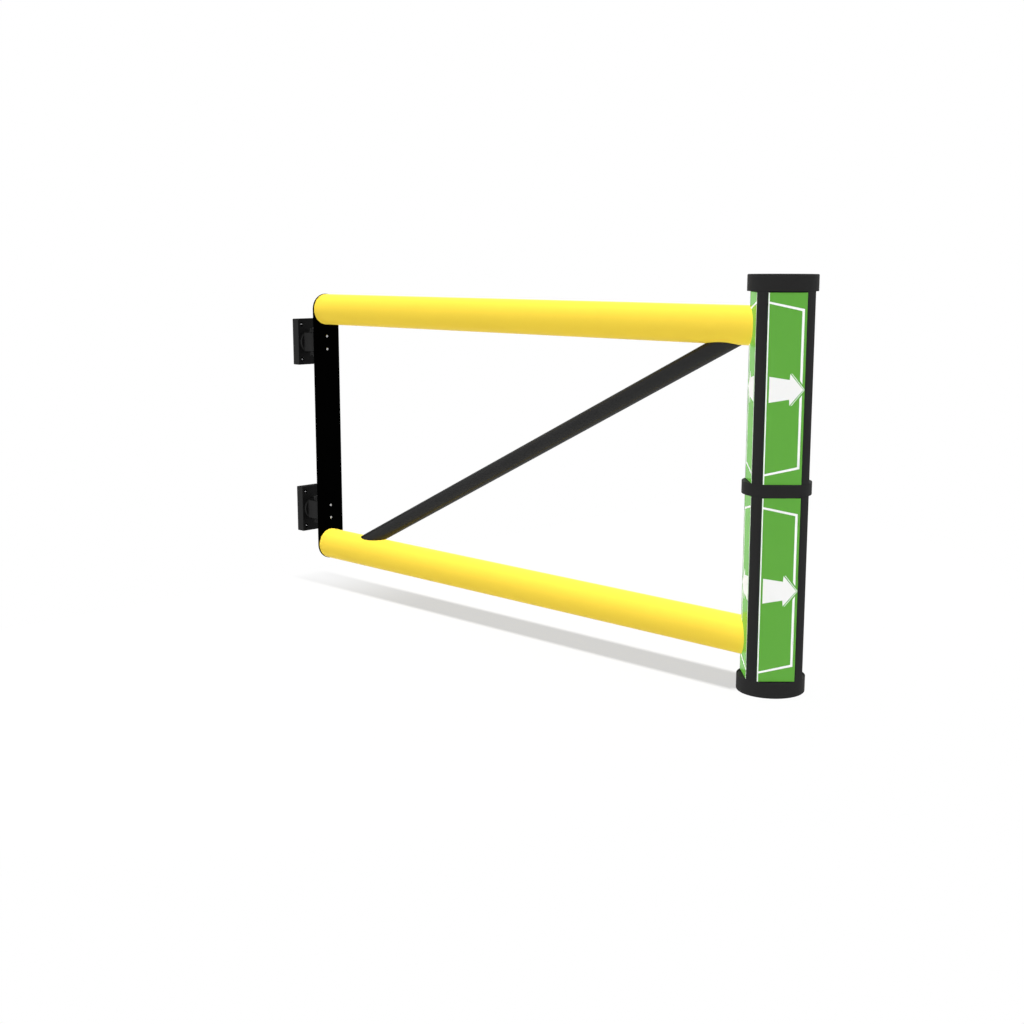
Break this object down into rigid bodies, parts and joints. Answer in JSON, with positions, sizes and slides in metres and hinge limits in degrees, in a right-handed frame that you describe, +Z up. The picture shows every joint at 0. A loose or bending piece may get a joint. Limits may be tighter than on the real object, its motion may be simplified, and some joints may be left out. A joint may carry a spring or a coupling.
{
  "type": "safety barrier swing gate",
  "caption": "Swing gate of two round rails with a diagonal brace, hung on two wall blocks, with a round end post that carries sign plates.",
  "frame": {"origin": "centre of the lower wall block's flat back face, where it meets the wall", "axes": "+X runs out of the wall along the closed gate to its end post, +Z is up, +Y is the far side of the gate"},
  "size_m": [2.236, 0.191, 1.155],
  "materials": {
    "black_block": "satin black moulding",
    "black_hinge": "satin black powder coat",
    "stile_black": "deep black powder coat",
    "black_plastic": "satin black polymer",
    "rail_yellow": "satin safety yellow polymer",
    "sign_green": "green sign plate",
    "pin_steel": "turned steel"
  },
  "bodies": {
    "wall_side": {"lower_wall_block": "black_block", "upper_wall_block": "black_block", "lower_wall_knuckle": "black_hinge", "upper_wall_knuckle": "black_hinge"},
    "gate": {"lower_hinge_fork": "black_hinge", "upper_hinge_fork": "black_hinge", "lower_hinge_pin": "pin_steel", "upper_hinge_pin": "pin_steel", "hinge_stile": "stile_black", "lower_rail": "rail_yellow", "upper_rail": "rail_yellow", "diagonal_brace": "black_plastic", "post_core": "black_plastic", "post_bottom_cap": "black_plastic", "post_collar": "black_plastic", "post_top_cap": "black_plastic", "lower_rib_gate": "black_plastic", "lower_rib_front": "black_plastic", "lower_rib_end": "black_plastic", "lower_rib_back": "black_plastic", "upper_rib_gate": "black_plastic", "upper_rib_front": "black_plastic", "upper_rib_end": "black_plastic", "upper_rib_back": "black_plastic", "lower_sign_gate_front": "sign_green", "lower_sign_end_front": "sign_green", "lower_sign_end_back": "sign_green", "lower_sign_gate_back": "sign_green", "upper_sign_gate_front": "sign_green", "upper_sign_end_front": "sign_green", "upper_sign_end_back": "sign_green", "upper_sign_gate_back": "sign_green"}
  },
  "joints": [
    {"name": "gate_swing", "type": "hinge", "parent": "wall_side", "child": "gate", "pos_m": [0.0795, 0, 0.3155], "axis": [0, 0, 1], "range_deg": [-90, 90]}
  ]
}
